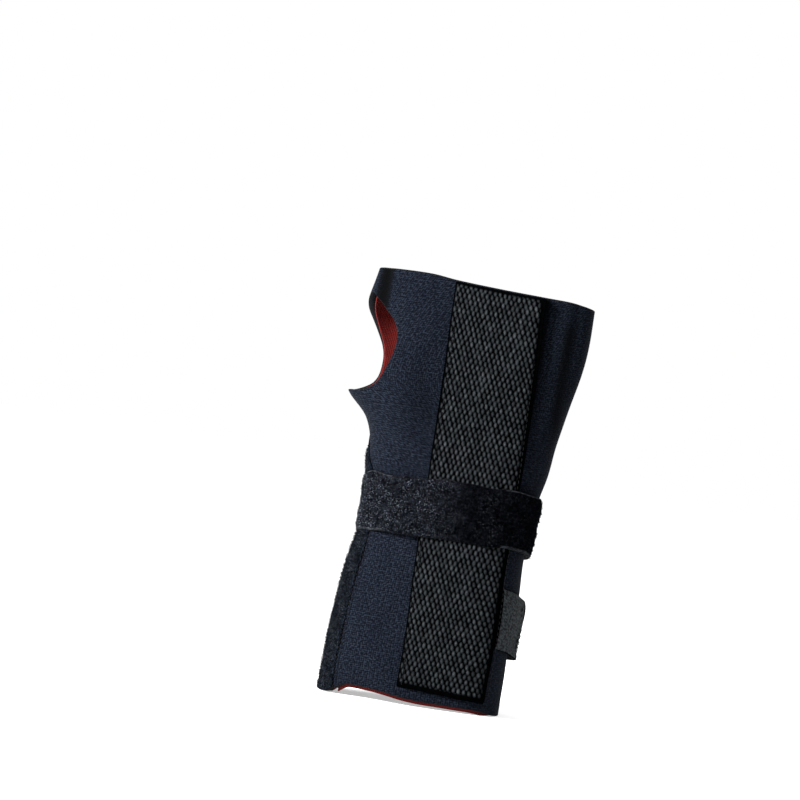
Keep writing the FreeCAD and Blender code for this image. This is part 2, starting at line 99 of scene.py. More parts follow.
# across the palm: height of the finger edge and of the forearm edge, which arches over the wrist's heel
TOP_EDGE = [(-44, 178.3), (-36, 178.6), (-17, 178.6), (-6, 177.4), (13, 176.2), (32, 175.4), (45, 174.9),
            (54, 173.4)]
BOTTOM_EDGE = [(-39, 0.15), (-35.2, 0.5), (-33.4, 1.9), (-31.5, 3.3), (-29.3, 4.7), (-27, 5.4), (-19, 5.3),
               (-11.5, 4.6), (-4, 3.5), (3.6, 2.9), (11, 2.8), (19, 2.6), (26, 2.4), (32, 1.7), (38.3, 0.15)]
THUMB_HOLE = [(0.0, 126.2), (12.0, 126.7), (18.0, 130.5), (19.5, 140.0), (17.8, 150.0), (12.0, 160.0),
              (0.0, 168.5)]
THUMB_HOLE_Y, THUMB_HOLE_MAX_X = -5.0, -18.0
SLEEVE_HEIGHT = 176.0
FLAP_LOW_EDGE, LOWEST = 0.15, 0.05   # heights of the flap's forearm edge, and the least of any edge

POCKET_HALF_WIDTH, POCKET_Z = 19.0, (5.0, 176.6)
POCKET_LOW_EDGE = (8.0, 5.4)   # heights of its forearm end, thumb side and little finger side
STRAP_WIDTH, STRAP_THICKNESS, SELVEDGE_WIDTH = 24.0, 1.8, 0.7
STRAP_LOOPS_PER_MM2 = 2.2
STRAP_LINE = [(-300, 75.0), (-260, 75.3), (-220, 77.7), (-180, 80.8), (-150, 82.2), (-95, 83.0), (-50, 82.0),
              (0, 79.0), (40, 76.0), (80, 75.0), (120, 75.0)]
STRAP_ANCHOR, STRAP_JOINT, STRAP_TIP, STRAP_END = -210.0, 26.0, 74.0, 118.0
STRAP_SEAM_LEVEL, STRAP_POCKET_LEVEL = 1.25, 3.2
STRAP_POCKET_START, STRAP_POCKET_END = (-150.0, -131.0), (-45.0, -18.0)
STRAP_SEAM_END, STRAP_STEP_DOWN = (-30.0, -12.0), (48.0, 70.0)
TAB_WIDTH, TAB_THICKNESS = 25.0, 1.4
TAB_LINE = [(-60, 41.9), (-42, 40.6), (-20, 38.2), (0, 36.4), (20, 35.4), (40, 34.5), (80, 33.5)]
HAND_TAB_Z = 143.0
TAB_STEP_DOWN = (1.0, 24.0)    # degrees past the flap's free edge, where a tab comes down to the back's pile
CUT_BEFORE_JOINT = 6.0         # degrees between a tape's joint and the start of the piece that peels there


def curve(table, at, column=1):
    """A smooth curve through a table's rows, at any number of places."""
    places = np.array([row[0] for row in table], float)
    values = np.array([row[column] for row in table], float)
    last = len(places) - 1
    low, high = np.maximum(np.arange(last + 1) - 1, 0), np.minimum(np.arange(last + 1) + 1, last)
    slope = (values[high] - values[low]) / (places[high] - places[low])
    at = np.clip(np.asarray(at, float), places[0], places[-1])
    k = np.clip(np.searchsorted(places, at, side="right") - 1, 0, last - 1)
    width = places[k + 1] - places[k]
    t = (at - places[k]) / width
    return ((2 * t**3 - 3 * t**2 + 1) * values[k] + (t**3 - 2 * t**2 + t) * width * slope[k]
            + (3 * t**2 - 2 * t**3) * values[k + 1] + (t**3 - t**2) * width * slope[k + 1])


def ease(value, start, end):
    t = np.clip((np.asarray(value, float) - start) / (end - start), 0, 1)
    return t * t * (3 - 2 * t)


def outline(z, angle):
    z, angle = np.broadcast_arrays(np.asarray(z, float), np.asarray(angle, float))
    thumb, little = curve(SIDES, z, 1), curve(SIDES, z, 2)
    palm = PALM_ARC_Y + PALM_ARC_RADIUS - np.sqrt(PALM_ARC_RADIUS**2 - (z - PALM_ARC_CENTRE_Z)**2)
    back = curve(BACK, z)
    middle_x, middle_y = (thumb + little) / 2, (back + palm) / 2
    c, s = np.cos(np.radians(angle)), np.sin(np.radians(angle))
    on_back = s >= 0
    centre = np.where(on_back, middle_x, KEEL_X)
    half_x = np.where(on_back, little - middle_x, np.where(c > 0, little - KEEL_X, KEEL_X - thumb))
    half_y = np.where(on_back, back - middle_y, middle_y - palm)
    power = np.where(on_back, BACK_SQUARENESS, PALM_SQUARENESS)
    r = ((np.abs(c) / half_x)**power + (np.abs(s) / half_y)**power)**(-1 / power)
    x, y = centre + r * c, middle_y + r * s
    swell = curve(THENAR, z) * np.exp(-((x - THENAR_X) / THENAR_WIDTH)**2) * s * s / (s * s + THENAR_FADE)
    return x, np.where(on_back, y, y - swell)


def surface(z, angle, offset):
    """Points at a distance outside the outer face, as an array whose last axis is x, y, z."""
    step = 0.4
    x, y = outline(z, angle)
    ahead, behind = outline(z, np.asarray(angle) + step), outline(z, np.asarray(angle) - step)
    tx, ty = ahead[0] - behind[0], ahead[1] - behind[1]
    length = np.hypot(tx, ty)
    z = np.broadcast_to(z, x.shape)
    return np.stack([x + ty / length * offset, y - tx / length * offset, z], axis=-1)


def angle_at_x(z, x):
    """The angle on the palm side where the outline crosses x, at each height."""
    low, high = np.full(z.shape, 181.0), np.full(z.shape, 359.0)
    for _ in range(30):
        middle = (low + high) / 2
        short = outline(z, middle)[0] < x
        low, high = np.where(short, middle, low), np.where(short, high, middle)
    return low


def even_angles(z, start, end, count):
    """Angles evenly spaced along the outline, one row for each height, and each row's distances in mm."""
    z, start, end = np.broadcast_arrays(np.asarray(z, float), start, end)
    share = np.linspace(0, 1, 241)
    angles = start[:, None] + (end - start)[:, None] * share
    x, y = outline(z[:, None], angles)
    run = np.concatenate([np.zeros((len(z), 1)), np.cumsum(np.hypot(np.diff(x), np.diff(y)), axis=1)], axis=1)
    wanted = run[:, -1:] * np.linspace(0, 1, count)
    found = np.stack([np.interp(w, r, a) for w, r, a in zip(wanted, run, angles)])
    return found, wanted


def seam(z):
    return curve(SEAM, z) - SEAM_ALLOWANCE


def free_edge(z):
    return 360 + FREE_EDGE_ANGLES[0] + (FREE_EDGE_ANGLES[1] - FREE_EDGE_ANGLES[0]) * ease(z, *FREE_EDGE_TURN)


def sunk(angle):
    """How far the back panel's level lies below the flap's."""
    return SUNK * ease(-np.asarray(angle), -SUNK_ANGLES[0], -SUNK_ANGLES[1])


def strap_level(a):
    """Height of the strap's inner face above the surface, at angles from -210 to 118."""
    over_seam = 1 - ease(a, *STRAP_SEAM_END)
    over_pocket = ease(a, *STRAP_POCKET_START) * (1 - ease(a, *STRAP_POCKET_END))
    return (MOVING_GAP + (STRAP_SEAM_LEVEL - MOVING_GAP) * over_seam
            + (STRAP_POCKET_LEVEL - STRAP_SEAM_LEVEL) * over_pocket
            + (BEYOND_FLAP - MOVING_GAP) * ease(a, *STRAP_STEP_DOWN))


def tab_level(a, edge):
    return MOVING_GAP + (BEYOND_FLAP - MOVING_GAP) * ease(a, edge + TAB_STEP_DOWN[0], edge + TAB_STEP_DOWN[1])


# ---- seeded waves, for everything that is not quite even ----

def waves(u, v, size, seed, count=9):
    """A smooth uneven field from about -1 to 1; size is its usual wavelength in mm."""
    draw = np.random.default_rng(seed)
    total = np.zeros(np.broadcast(u, v).shape)
    for _ in range(count):
        heading, phase = draw.uniform(0, 2 * math.pi, 2)
        k = 2 * math.pi / (size * draw.uniform(0.6, 1.7))
        total += np.sin(k * (math.cos(heading) * u + math.sin(heading) * v) + phase)
    return total / math.sqrt(count / 2) / 1.6


# ---- meshes ----

def add_object(name, points, faces, uvs, material, material_index=None, extra_materials=()):
    """A mesh object from points in mm, faces as lists of points, and a UV in mm for each point."""
    mesh = bpy.data.meshes.new(name)
    mesh.from_pydata((np.asarray(points) * MM).tolist(), [], faces)
    layer = mesh.uv_layers.new(name="UVMap")
    corners = np.zeros(len(mesh.loops), np.int32)
    mesh.loops.foreach_get("vertex_index", corners)
    layer.data.foreach_set("uv", (np.asarray(uvs, np.float32)[corners] * 0.1).ravel())
    mesh.polygons.foreach_set("use_smooth", [True] * len(mesh.polygons))
    for each in (material,) + tuple(extra_materials):
        mesh.materials.append(each)
    if material_index is not None:
        mesh.polygons.foreach_set("material_index", material_index)
    mesh.update()
    obj = bpy.data.objects.new(name, mesh)
    bpy.context.scene.collection.objects.link(obj)
    return obj


def grid_faces(rows, columns):
    index = np.arange(rows * columns).reshape(rows, columns)
    corners = [index[:-1, :-1], index[:-1, 1:], index[1:, 1:], index[1:, :-1]]
    return np.stack(corners, axis=-1).reshape(-1, 4).tolist()


def clip_faces(faces, keep, fields):
    """Cuts faces along keep = 0. fields are arrays of one value for each point, with the cuts' values added."""
    made, columns = {}, [list(f) for f in fields]

    def cut(i, j):
        key = (min(i, j), max(i, j))
        if key not in made:
            t = keep[key[0]] / (keep[key[0]] - keep[key[1]])
            made[key] = len(columns[0])
            for column in columns:
                column.append(column[key[0]] * (1 - t) + column[key[1]] * t)
        return made[key]

    result = []
    for face in faces:
        signs = [keep[i] > 0 for i in face]
        if all(signs):
            result.append(face)
        elif any(signs):
            shape = []
            for i, j in zip(face, face[1:] + face[:1]):
                if keep[i] > 0:
                    shape.append(i)
                if (keep[i] > 0) != (keep[j] > 0):
                    shape.append(cut(i, j))
            result.append(shape)
    used = sorted({i for f in result for i in f})
    place = {old: new for new, old in enumerate(used)}
    result = [[place[i] for i in f] for f in result]
    return result, [np.array(c)[used] for c in columns]


def slab(name, faces, outer, inner, uv, material, bulge=0.3, steps=4, rim_material=None):
    """A closed sheet: an outer face, an inner face and a rounded edge between them all round its border."""
    outer, inner, uv = outer.reshape(-1, 3), inner.reshape(-1, 3), uv.reshape(-1, 2)
    count = len(outer)
    used = {}
    for face in faces:
        for i, j in zip(face, face[1:] + face[:1]):
            if (j, i) in used:
                del used[(j, i)]
            else:
                used[(i, j)] = True
    border = list(used)
    normal = outer - inner
    normal /= np.linalg.norm(normal, axis=1)[:, None] + 1e-9
    out = np.zeros((count, 3))
    for i, j in border:
        side = np.cross(outer[j] - outer[i], (normal[i] + normal[j]) / 2)
        side /= np.linalg.norm(side) + 1e-9
        out[i] += side
        out[j] += side
    rim_points = sorted({i for edge in border for i in edge})
    ring = {i: k for k, i in enumerate(rim_points)}
    rim = np.array(rim_points)
    out_rim = out[rim]
    out_rim /= np.linalg.norm(out_rim, axis=1)[:, None] + 1e-9
    middle, reach = (outer[rim] + inner[rim]) / 2, (outer[rim] - inner[rim]) / 2
    points, uvs = [outer, inner], [uv, uv]
    for k in range(1, steps):
        turn = math.pi * k / steps
        points.append(middle + reach * math.cos(turn) + out_rim * bulge * math.sin(turn))
        uvs.append(uv[rim] + np.array([[0.35 * k, 0.35 * k]]))
    all_faces = list(faces) + [[count + i for i in reversed(f)] for f in faces]
    flat_count = len(all_faces)

    def level(i, k):
        if k == 0:
            return i
        return count + i if k == steps else 2 * count + (k - 1) * len(rim) + ring[i]

    for i, j in border:
        for k in range(steps):
            all_faces.append([level(j, k), level(i, k), level(i, k + 1), level(j, k + 1)])
    index, extra = None, ()
    if rim_material is not None:
        index, extra = [0] * flat_count + [1] * (len(all_faces) - flat_count), (rim_material,)
    return add_object(name, np.concatenate(points), all_faces, np.concatenate(uvs), material, index, extra)


def point_values(obj, name, values):
    """Stores a number at each of the first points; the rest get 0."""
    full = np.zeros(len(obj.data.vertices), np.float32)
    full[:len(values)] = values
    obj.data.attributes.new(name, "FLOAT", "POINT").data.foreach_set("value", full)


# ---- materials ----

ONE_BAND = 0.31831             # a wave texture's scale that gives about one band in each cell
ROUGHNESS_SPREAD = 0.12


class Nodes:
    """A material's node tree, with short calls for the nodes that fabrics use. UVs are in units of 10 mm."""

    def __init__(self, name, roughness, specular, sheen=0.0, sheen_tint=(1, 1, 1, 1), sheen_roughness=0.5,
                 metallic=0.0):
        self.material = bpy.data.materials.new(name)
        self.material.use_nodes = True
        self.tree = self.material.node_tree
        self.shader = self.tree.nodes["Principled BSDF"]
        values = {"Roughness": roughness, "Metallic": metallic, "Specular IOR Level": specular,
                  "Sheen Weight": sheen, "Sheen Tint": sheen_tint, "Sheen Roughness": sheen_roughness}
        for name, value in values.items():
            self.shader.inputs[name].default_value = value
        self.uv = self.add("UVMap", "UV")

    def add(self, kind, output, vector=None, **inputs):
        """Adds a node, sets its inputs and returns one of its outputs."""
        node = self.tree.nodes.new("ShaderNode" + kind)
        for name, value in inputs.items():
            node.inputs[name].default_value = value
        if vector is not None:
            self.tree.links.new(vector, node.inputs["Vector"])
        return node.outputs[output]

    def feed(self, sockets, values):
        """Gives each socket its value: a number, a color, or another node's output."""
        for socket, value in zip(sockets, values):
            if isinstance(value, (int, float)):
                socket.default_value = value
            elif isinstance(value, tuple):
                socket.default_value = (*value, 1)
            else:
                self.tree.links.new(value, socket)

    def scaled(self, across, along, turn=0.0):
        """UVs with cells of the given size in mm, turned by an angle in degrees."""
        return self.add("Mapping", "Vector", self.uv, Scale=(10 / across, 10 / along, 1),
                        Rotation=(0, 0, math.radians(turn)))

    def noise(self, across, along, detail=2.0, distortion=0.0):
        return self.add("TexNoise", "Fac", self.scaled(across, along), Scale=1.0, Detail=detail,
                        Distortion=distortion)

    def wave(self, across, along, bands="X", distortion=0.0, detail=1.0, turn=0.0):
        wave = self.add("TexWave", "Fac", self.scaled(across, along, turn), Scale=ONE_BAND, Detail=detail,
                        Distortion=distortion)
        wave.node.bands_direction = bands
        return wave

    def math(self, operation, *values):
        node = self.tree.nodes.new("ShaderNodeMath")
        node.operation = operation
        self.feed(node.inputs, values)
        return node.outputs[0]

    def sum(self, *parts):
        """The sum of outputs, each times its weight."""
        terms = [self.math("MULTIPLY", value, weight) for value, weight in parts]
        total = terms.pop()
        while terms:
            total = self.math("ADD", terms.pop(), total)
        return total

    def ramp(self, value, stops):
        """Colors along a value; a stop's color may be one number, for a grey."""
        node = self.tree.nodes.new("ShaderNodeValToRGB")
        ramp = node.color_ramp
        while len(ramp.elements) < len(stops):
            ramp.elements.new(0.5)
        for element, (place, color) in zip(ramp.elements, stops):
            element.position = place
            element.color = (*(color if isinstance(color, tuple) else (color,) * 3), 1)
        self.feed(node.inputs, [value])
        return node.outputs["Color"]

    def mix(self, share, a, b, kind="MIX"):
        node = self.tree.nodes.new("ShaderNodeMix")
        node.data_type = "RGBA"
        node.blend_type = kind
        self.feed([node.inputs[0], node.inputs[6], node.inputs[7]], (share, a, b))
        return node.outputs[2]

    def times(self, a, b):
        return self.mix(1.0, a, b, "MULTIPLY")

    def attribute(self, name):
        fac = self.add("Attribute", "Fac")
        fac.node.attribute_name = name
        return fac

    def color(self, value):
        self.feed([self.shader.inputs["Base Color"]], [value])

    def roughness(self, value, stops):
        self.feed([self.shader.inputs["Roughness"]], [self.ramp(value, stops)])

    def bump(self, height, distance_mm, strength):
        normal = self.add("Bump", "Normal", Strength=strength, Distance=distance_mm * MM)
        self.feed([normal.node.inputs["Height"], self.shader.inputs["Normal"]], [height, normal])


def jersey(name, dark, light, fleck):
    """Fine knit on neoprene: ribs and courses under a heathered yarn with scattered light flecks, and painted
    shade where its points carry it.
    """
    n = Nodes(name, 0.9, 0.02, sheen=0.006, sheen_tint=(0.55, 0.66, 0.9, 1))
    grain = n.sum((n.wave(0.95, 9.0, distortion=1.5), 0.5), (n.wave(9.0, 0.85, "Y", distortion=1.8), 0.5))
    mixed = n.sum((n.noise(0.95, 0.8, detail=1.0), 0.62), (n.noise(0.5, 0.45), 0.22), (grain, 0.16))
    base = n.ramp(mixed, [(0.39, dark), (0.51, light), (0.62, fleck)])
    broad = n.ramp(n.noise(14.0, 20.0), [(0.3, (0.70, 0.72, 0.78)), (0.7, 1.0)])
    # painted shade: darkens the jersey by the crease and pocket shade values kept on its points
    painted_shade_tint = n.ramp(n.attribute("painted_jersey_shade"), [(0.0, 1.0), (0.5, (0.28, 0.28, 0.3)), (1.0, 0.02)])
    n.color(n.times(n.times(base, broad), painted_shade_tint))
    n.bump(mixed, 0.3, 0.9)
    return n.material


def brushed(name, dark, light, lightest):
    """Brushed loop pile under its separate loops: curled light threads over dark gaps, with painted shade where
    its points carry it.
    """
    n = Nodes(name, 0.95, 0.0, sheen=0.002, sheen_tint=(0.6, 0.66, 0.82, 1), sheen_roughness=0.6)
    curls = n.noise(0.75, 0.8, detail=1.0, distortion=1.5)
    mixed = n.sum((curls, 0.55), (n.noise(0.4, 0.4), 0.25), (n.noise(5.0, 5.0), 0.20))
    base = n.ramp(mixed, [(0.44, dark), (0.52, light), (0.62, lightest)])
    # painted shade: darkens the pile by the shade values kept on its points, as on the strap
    n.color(n.times(base, n.ramp(n.attribute("painted_strap_shade"), [(0.0, 1.0), (1.0, (0.12, 0.12, 0.14))])))
    n.bump(mixed, 0.6, 1.0)
    return n.material


def yarn(name, dark, light, specular, roughness=0.6, twist=0.35, lightest=None):
    """A twisted thread: short slanted strands. Loops have a tone of their own, up to the lightest; on the strap
    that tone also carries painted light.
    """
    n = Nodes(name, roughness, specular)
    strands = n.wave(twist, twist * 1.6, distortion=0.6)
    base = n.mix(n.math("MULTIPLY", strands, n.noise(0.25, 0.8)), dark, light)
    n.color(n.mix(n.attribute("tone"), base, lightest) if lightest else base)
    n.bump(strands, 0.08, 0.7)
    return n.material


def knit_lining(name, dark, light):
    """Brick-red knitted lining: small loops in courses."""
    n = Nodes(name, 0.9, 0.08, sheen=0.03, sheen_tint=(1.0, 0.5, 0.45, 1))
    loops = n.math("MULTIPLY", n.wave(0.9, 9.0), n.wave(9.0, 0.7, "Y"))
    fine = n.noise(0.5, 0.5, detail=3.0)
    n.color(n.mix(n.math("MULTIPLY_ADD", loops, fine, 0.5), dark, light))
    n.bump(n.math("ADD", loops, fine), 0.15, 0.8)
    return n.material


def twill(name, dark, light):
    """Smooth narrow tape: a fine diagonal rib over a tight weave."""
    n = Nodes(name, 0.8, 0.02)
    ribs = n.wave(0.55, 0.55, distortion=0.5, detail=2.0, turn=52)
    pattern = n.sum((ribs, 0.6), (n.wave(9.0, 0.42, "Y", distortion=0.8), 0.4))
    base = n.ramp(pattern, [(0.15, dark), (0.85, light)])
    broad = n.ramp(n.noise(3.0, 5.0, detail=4.0), [(0.3, (0.72, 0.72, 0.74)), (0.75, 1.0)])
    speck = n.ramp(n.noise(1.15, 1.0, detail=1.0), [(0.40, (0.28, 0.28, 0.29)), (0.58, 1.0)])
    n.color(n.times(n.times(base, broad), speck))
    n.bump(pattern, 0.12, 0.7)
    return n.material


def weave(name, dark, light, fleck):
    """Heavy webbing: the cords are modelled; this is their fibre and tone, and painted shade by the floats'
    height.
    """
    n = Nodes(name, 0.7, 0.0)
    fibre = n.noise(0.16, 0.9, detail=3.0)
    mixed = n.sum((fibre, 0.5), (n.noise(2.2, 2.6, detail=1.0), 0.5))
    base = n.ramp(mixed, [(0.32, dark), (0.62, light), (0.8, fleck)])
    spots = n.ramp(n.noise(0.5, 0.6), [(0.3, 0.7), (0.65, 1.0)])
    # painted shade: near black where the float height is low, between the floats and on their flattened edges and
    # ends; none on the floats' tops
    gaps = n.ramp(n.attribute("float"), [(0.22, (0.02, 0.02, 0.022)), (0.66, (0.42, 0.42, 0.43)), (0.95, 1.0)])
    n.color(n.times(n.times(base, spots), gaps))
    n.bump(fibre, 0.1, 0.8)
    n.roughness(fibre, [(0.2, 0.75), (0.8, 0.5)])
    return n.material


def foam(name, color):
    """The cut edge of the neoprene: closed-cell foam between two knitted faces."""
    n = Nodes(name, 0.9, 0.06)
    pores = n.add("TexVoronoi", "Distance", n.scaled(0.35, 0.35), Scale=1.0)
    n.color(n.mix(pores, color, tuple(c * 0.4 for c in color)))
    n.bump(pores, 0.1, 0.6)
    return n.material


def solid_material(name, dark, light, roughness, size, bump, specular=0.5, metallic=0.0, stretch=1.0):
    """For the frame's own solids, which have no UVs: noise in the solid itself, its size in mm."""
    n = Nodes(name, roughness, specular, metallic=metallic)
    cells = 1 / (size * MM)
    place = n.add("Mapping", "Vector", n.add("TexCoord", "Object"), Scale=(cells, cells, cells * stretch))
    pattern = n.add("TexNoise", "Fac", place, Scale=1.0, Detail=3.0)
    n.color(n.mix(pattern, dark, light))
    n.bump(pattern, bump, 0.6)
    n.roughness(pattern, [(0.2, roughness - ROUGHNESS_SPREAD), (0.8, roughness + ROUGHNESS_SPREAD)])
    return n.material


M_JERSEY = jersey("jersey", (0.0003, 0.0005, 0.0011), (0.0018, 0.0026, 0.0047), (0.0062, 0.0082, 0.0122))
M_FOAM = foam("neoprene_cut_edge", (0.0016, 0.0018, 0.0026))
M_LINING = knit_lining("red_lining", (0.022, 0.0011, 0.0010), (0.075, 0.0042, 0.0034))
M_PILE = brushed("loop_pile", (0.0003, 0.0005, 0.0009), (0.0020, 0.0028, 0.0042), (0.0085, 0.0110, 0.0150))
M_LOOPS = yarn("pile_loops", (0.0005, 0.0007, 0.0011), (0.0024, 0.0030, 0.0042), 0.0, roughness=0.8, twist=0.5,
               lightest=(0.105, 0.117, 0.137))
M_STRAP = brushed("strap_pile", (0.0003, 0.0003, 0.0006), (0.0018, 0.0020, 0.0030), (0.0085, 0.0095, 0.0120))
M_SELVEDGE = twill("strap_selvedge", (0.0060, 0.0068, 0.0082), (0.0200, 0.0225, 0.0265))
M_SELVEDGE_SIDE = twill("strap_side", (0.0006, 0.0007, 0.0010), (0.0026, 0.0029, 0.0038))
M_WEBBING = weave("webbing", (0.0070, 0.0080, 0.0090), (0.0205, 0.0230, 0.0250), (0.060, 0.066, 0.070))
# painted shade: near-black rims on the webbing and the tabs stand for the shadow along their raised sides and
# ends
PAINTED_SHADE_EDGE_COLORS = (0.0002, 0.0002, 0.0003), (0.0006, 0.0006, 0.0008), (0.001, 0.001, 0.0012)
M_WEBBING_EDGE = weave("webbing_edge", *PAINTED_SHADE_EDGE_COLORS)
M_TAB = twill("tab_tape", (0.0060, 0.0070, 0.0076), (0.0420, 0.0480, 0.0520))
M_TAB_EDGE = weave("tab_edge", *PAINTED_SHADE_EDGE_COLORS)
M_THREAD = yarn("thread", (0.0003, 0.0004, 0.0006), (0.0016, 0.0018, 0.0026), 0.05)
M_HOOK = solid_material("hook_nylon", (0.0012, 0.0012, 0.0015), (0.006, 0.006, 0.0068), 0.8, 0.5, 0.1,
                        specular=0.03)
M_STAY = solid_material("stay_aluminium", (0.20, 0.205, 0.21), (0.33, 0.335, 0.34), 0.42, 1.2, 0.01,
                        metallic=1.0, stretch=0.05)
M_VINYL = solid_material("dipped_vinyl", (0.005, 0.005, 0.006), (0.010, 0.010, 0.012), 0.55, 3.0, 0.03,
                         specular=0.12)
M_BONE = solid_material("flat_steel", (0.16, 0.165, 0.17), (0.27, 0.275, 0.28), 0.38, 0.8, 0.01, metallic=1.0,
                        stretch=0.04)

# ---- what moves with what, and where the fabric bends between two bodies ----

FLAP_BEND_SLOPE = 1.2          # the flap bends between two planes x + 1.2 y = a distance, in mm
FLAP_BEND_PLANES = (13.8, 27.4)
FLAP_BEND = [(d / (1 + FLAP_BEND_SLOPE**2), d * FLAP_BEND_SLOPE / (1 + FLAP_BEND_SLOPE**2))
             for d in FLAP_BEND_PLANES]
ON_PALM = (("splint_body",),)
ACROSS_FLAP = (("splint_body", "ulnar_flap"), FLAP_BEND)
ACROSS_BACK = (("splint_body", "dorsal_panel"), ((-22.0, 30.0), (-7.0, 30.0)))


def finish_piece(piece, slot, replaces, bodies, ends=None):
    """Hides the solids that a piece stands for and parents it to its body; a piece given ends is only baked in
    place, and nothing bends it. slot is not used.
    """
    if replaces:
        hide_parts(*replaces)
    if ends is None:
        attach(piece, *bodies)
    else:
        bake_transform(piece)


def panel_grid(height, girth, spacing, start, end, low_edge):
    """Angles, heights, UVs and faces over a panel; start, end and low_edge are functions for its edges."""
    rows, columns = int(height / spacing), int(girth / spacing)
    share = np.linspace(0, 1, rows)
    z_mid = share * SLEEVE_HEIGHT
    angles, run = even_angles(z_mid, start(z_mid), end(z_mid), columns)
    x = outline(z_mid[:, None], angles)[0]
    low = low_edge(x, angles)
    z = low + (curve(TOP_EDGE, x) - low) * share[:, None]
    return angles.ravel(), z.ravel(), np.stack([run, z], axis=-1).reshape(-1, 2), grid_faces(rows, columns)


# ---- the palm panel, which goes on round the little finger side as the flap ----

def hole_outline():
    """The thumb hole's closed edge as points (y, z), smooth through the points of its half outline."""
    half, height = np.array(THUMB_HOLE).T
    y = np.concatenate([THUMB_HOLE_Y - half, THUMB_HOLE_Y + half[-2:0:-1]])
    z = np.concatenate([height, height[-2:0:-1]])
    run = np.concatenate([[0], np.cumsum(np.hypot(np.diff(np.append(y, y[0])), np.diff(np.append(z, z[0]))))])
    three = [np.concatenate([v, v, v, v[:1]]) for v in (y, z)]
    places = np.concatenate([run[:-1] - run[-1], run[:-1], run[:-1] + run[-1], [2 * run[-1]]])
    at = np.linspace(0, run[-1], 160, endpoint=False)
    return np.stack([curve(list(zip(places, v)), at) for v in three], axis=1)


def outside_hole(points):
    """Distance in mm outside the thumb hole, negative inside it."""
    edge = hole_outline()
    p = points[:, 1:3]
    a, b = edge, np.roll(edge, -1, axis=0)
    d = b - a
    distance = np.full(len(p), 1e9)
    inside = np.zeros(len(p), bool)
    for k in range(len(edge)):
        t = np.clip(((p - a[k]) @ d[k]) / (d[k] @ d[k]), 0, 1)
        distance = np.minimum(distance, np.linalg.norm(p - a[k] - t[:, None] * d[k], axis=1))
        crosses = (a[k, 1] > p[:, 1]) != (b[k, 1] > p[:, 1])
        side = a[k, 0] + (p[:, 1] - a[k, 1]) * d[k, 0] / (d[k, 1] if abs(d[k, 1]) > 1e-12 else 1e-12)
        inside ^= crosses & (p[:, 0] < side)
    return np.where(points[:, 0] > THUMB_HOLE_MAX_X, 50.0, np.where(inside, -distance, distance))


def drawn_in(angle, z):
    """How far the strap draws the sleeve in, in mm: most on the thumb side."""
    a = np.mod(np.asarray(angle, float) + 300, 360) - 300
    thumb_side = ease(a, -235, -205) * (1 - ease(a, -165, -140))
    return (0.5 + 1.3 * thumb_side) * np.exp(-((z - curve(STRAP_LINE, a)) / 13)**2)


def palm_relief(angle, z):
    """Uneven fullness of the palm panel, in mm: broad swells, and pulls where the strap draws it in."""
    x = outline(z, angle)[0]
    swell = 0.45 * waves(x, z, 46, 3) + 0.22 * waves(x, z, 17, 4)
    pulls = 0.3 * np.exp(-((z - 82) / 26)**2) * waves(x, z * 0.25, 9, 5)
    hole_flare = 0.9 * np.exp(-((z - 127) / 5)**2) * ease(-x, 26, 42)
    corner_fold = 1.3 * np.exp(-((x + 35.0) / 1.7)**2) * ease(z, 150, 172)
    side_fold = 0.9 * np.exp(-((x - 46.6) / 2.3)**2) * ease(z, 118, 150) * ease(-np.asarray(angle), -362, -352)
    return swell - drawn_in(angle, z) + pulls + hole_flare - corner_fold - side_fold


def fold_shade(angle, z):
    """Painted shade on the jersey, 0 to 1: in the crease by the thumb corner, down the far side, and beside the
    pocket's raised edge.
    """
    x = outline(z, angle)[0]
    front = ease(np.asarray(angle), 182, 190) * ease(-np.asarray(angle), -362, -352)
    corner = np.exp(-((x + 35.2) / 2.9)**4) * ease(z, 156, 164)
    far_side = 0.65 * np.exp(-((x - 44.0) / 2.6)**2) * ease(z, 108, 128) * (1 - ease(z, 160, 172))
    by_pocket = 0.9 * np.exp(-((x - KEEL_X - POCKET_HALF_WIDTH - 0.9) / 1.1)**2) * ease(z, 100, 160)
    return np.clip(np.maximum(np.maximum(corner, far_side), by_pocket) * front, 0, 1)


def palm_layer(spacing, drop=0.0, inset=0.0, margin=0.0):
    """Faces, angles, heights, UVs and relief of the palm panel and flap, with the thumb hole cut out.

    drop lengthens the forearm edge, inset is in degrees at the seam, and margin narrows the hole.
    """
    def low_edge(x, angles):
        palm_side = (angles > 182) & (angles < 358)
        return np.maximum(np.where(palm_side, curve(BOTTOM_EDGE, x), FLAP_LOW_EDGE) - drop, LOWEST)

    a, h, uv, faces = panel_grid(178, 176, spacing, lambda z: seam(z) + inset, free_edge, low_edge)
    away = outside_hole(surface(h, a, 0.0)) + margin
    faces, (a, h, u, v) = clip_faces(faces, away, [a, h, *uv.T])
    return faces, a, h, np.stack([u, v], 1), palm_relief(a, h)


def make_palm():
    faces, a, h, uv, relief = palm_layer(1.25)
    outer, inner = surface(h, a, relief), surface(h, a, -NEOPRENE + relief * 0.5)
    panel = slab("palm_and_flap", faces, outer, inner, uv, M_JERSEY, bulge=0.5, rim_material=M_FOAM)
    # painted shade of the creases and beside the pocket, kept on the points for the jersey's colour
    point_values(panel, "painted_jersey_shade", fold_shade(a, h))
    finish_piece(panel, "neoprene", ["palm_panel", "flap_panel"], *ACROSS_FLAP)

    faces, a, h, uv, relief = palm_layer(1.8, drop=1.5, inset=0.3, margin=0.4)
    outer = surface(h, a, -NEOPRENE - LAYER_GAP + relief * 0.5)
    inner = surface(h, a, -NEOPRENE - LAYER_GAP - LINING + relief * 0.5)
    lining = slab("palm_and_flap_lining", faces, outer, inner, uv, M_LINING, bulge=0.25)
    finish_piece(lining, "lining", ["palm_lining", "flap_lining"], *ACROSS_FLAP)


make_palm()


# ---- the back panel, with its pile face ----

